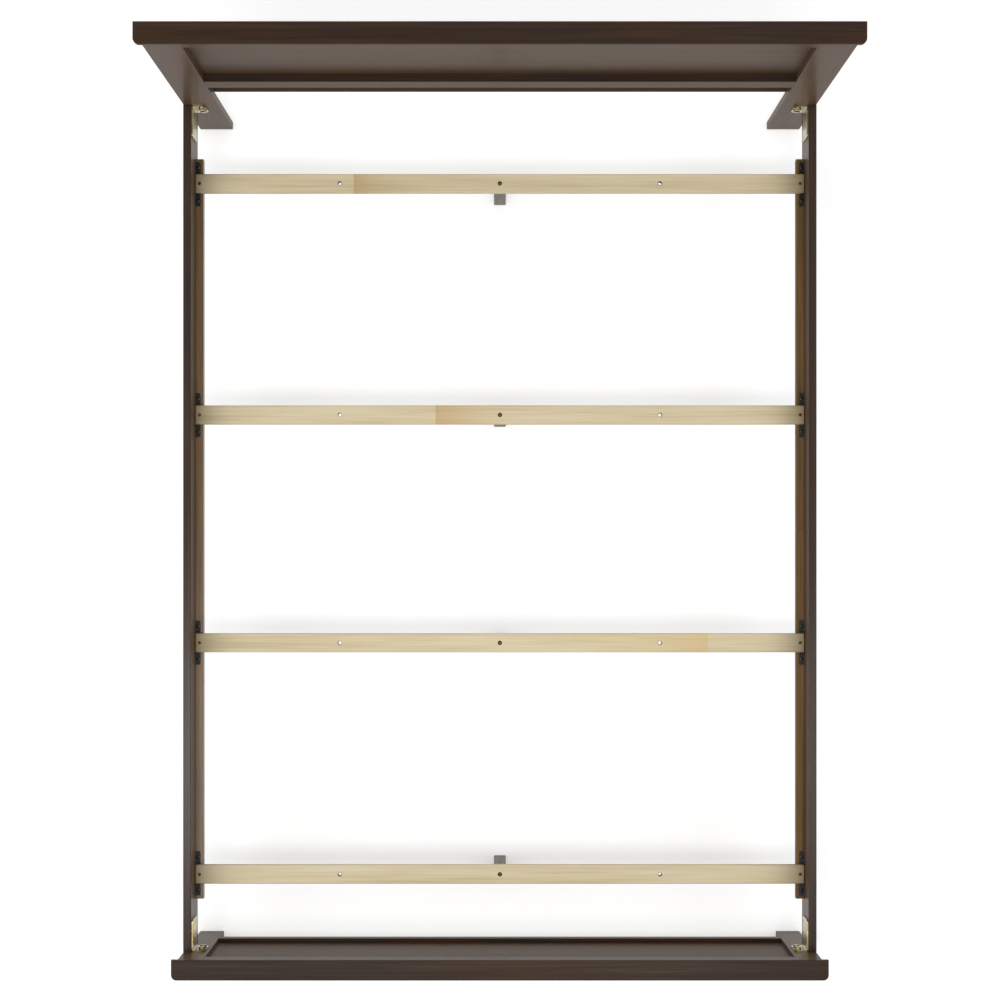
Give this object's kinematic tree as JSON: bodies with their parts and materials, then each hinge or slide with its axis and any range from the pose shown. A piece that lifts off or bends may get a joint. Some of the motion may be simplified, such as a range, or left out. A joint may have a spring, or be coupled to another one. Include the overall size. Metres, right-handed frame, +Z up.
{
  "type": "bed frame",
  "caption": "Wooden bed frame with a tall panelled headboard, low footboard, bolted side rails, and slats on cleats with square centre legs that turn on their screws.",
  "frame": {"origin": "on the floor, under the middle of the bed", "axes": "+X across the bed to the right seen from the foot end, +Y towards the headboard, +Z up"},
  "size_m": [1.45, 1.99, 1.148],
  "materials": {
    "espresso_wood": "satin espresso lacquer",
    "espresso_panel": "satin espresso lacquer on thin board",
    "slat_wood": "bare planed softwood",
    "cleat_board": "raw brown board",
    "leg_wood": "dull grey-brown stain",
    "dowel_beech": "bare beech",
    "holder_plastic": "moulded, matt",
    "yellow_zinc": "yellow zinc plate",
    "plain_steel": "bright zinc plate",
    "dark_steel": "black phosphate"
  },
  "bodies": {
    "bed_frame": {"bracket_bolts": "yellow_zinc", "bracket_screws": "yellow_zinc", "bracket_washers": "yellow_zinc", "cleat_screws": "dark_steel", "corner_bracket_foot_left": "yellow_zinc", "corner_bracket_foot_right": "yellow_zinc", "corner_bracket_head_left": "yellow_zinc", "corner_bracket_head_right": "yellow_zinc", "footboard_bottom_rail": "espresso_wood", "footboard_cap": "espresso_wood", "footboard_cap_dowels": "dowel_beech", "footboard_frame_dowels": "dowel_beech", "footboard_panel": "espresso_panel", "footboard_panel_screws": "dark_steel", "footboard_post_left": "espresso_wood", "footboard_post_right": "espresso_wood", "footboard_top_rail": "espresso_wood", "headboard_bottom_rail": "espresso_wood", "headboard_cap": "espresso_wood", "headboard_cap_dowels": "dowel_beech", "headboard_frame_dowels": "dowel_beech", "headboard_panel": "espresso_panel", "headboard_panel_screws": "dark_steel", "headboard_post_left": "espresso_wood", "headboard_post_right": "espresso_wood", "headboard_top_rail": "espresso_wood", "post_inserts": "plain_steel", "side_rail_left": "espresso_wood", "side_rail_right": "espresso_wood", "slat_1": "slat_wood", "slat_2": "slat_wood", "slat_3": "slat_wood", "slat_4": "slat_wood", "slat_cleat_left": "cleat_board", "slat_cleat_right": "cleat_board", "slat_end_screws": "dark_steel", "slat_holder_left_1": "holder_plastic", "slat_holder_left_2": "holder_plastic", "slat_holder_left_3": "holder_plastic", "slat_holder_left_4": "holder_plastic", "slat_holder_right_1": "holder_plastic", "slat_holder_right_2": "holder_plastic", "slat_holder_right_3": "holder_plastic", "slat_holder_right_4": "holder_plastic", "slat_holder_screws": "dark_steel"},
    "leg_1": {"centre_leg_1": "leg_wood", "leg_insert_1": "plain_steel", "leg_screw_1": "plain_steel"},
    "leg_2": {"centre_leg_2": "leg_wood", "leg_insert_2": "plain_steel", "leg_screw_2": "plain_steel"},
    "leg_3": {"centre_leg_3": "leg_wood", "leg_insert_3": "plain_steel", "leg_screw_3": "plain_steel"},
    "leg_4": {"centre_leg_4": "leg_wood", "leg_insert_4": "plain_steel", "leg_screw_4": "plain_steel"}
  },
  "joints": [
    {"name": "leg_1_turn", "type": "hinge", "parent": "bed_frame", "child": "leg_1", "pos_m": [0, 0.79325, 0.1], "axis": [0, 0, 1], "continuous": true},
    {"name": "leg_2_turn", "type": "hinge", "parent": "bed_frame", "child": "leg_2", "pos_m": [0, 0.26395, 0.1], "axis": [0, 0, 1], "continuous": true},
    {"name": "leg_3_turn", "type": "hinge", "parent": "bed_frame", "child": "leg_3", "pos_m": [0, -0.25745, 0.1], "axis": [0, 0, 1], "continuous": true},
    {"name": "leg_4_turn", "type": "hinge", "parent": "bed_frame", "child": "leg_4", "pos_m": [0, -0.78675, 0.1], "axis": [0, 0, 1], "continuous": true}
  ]
}
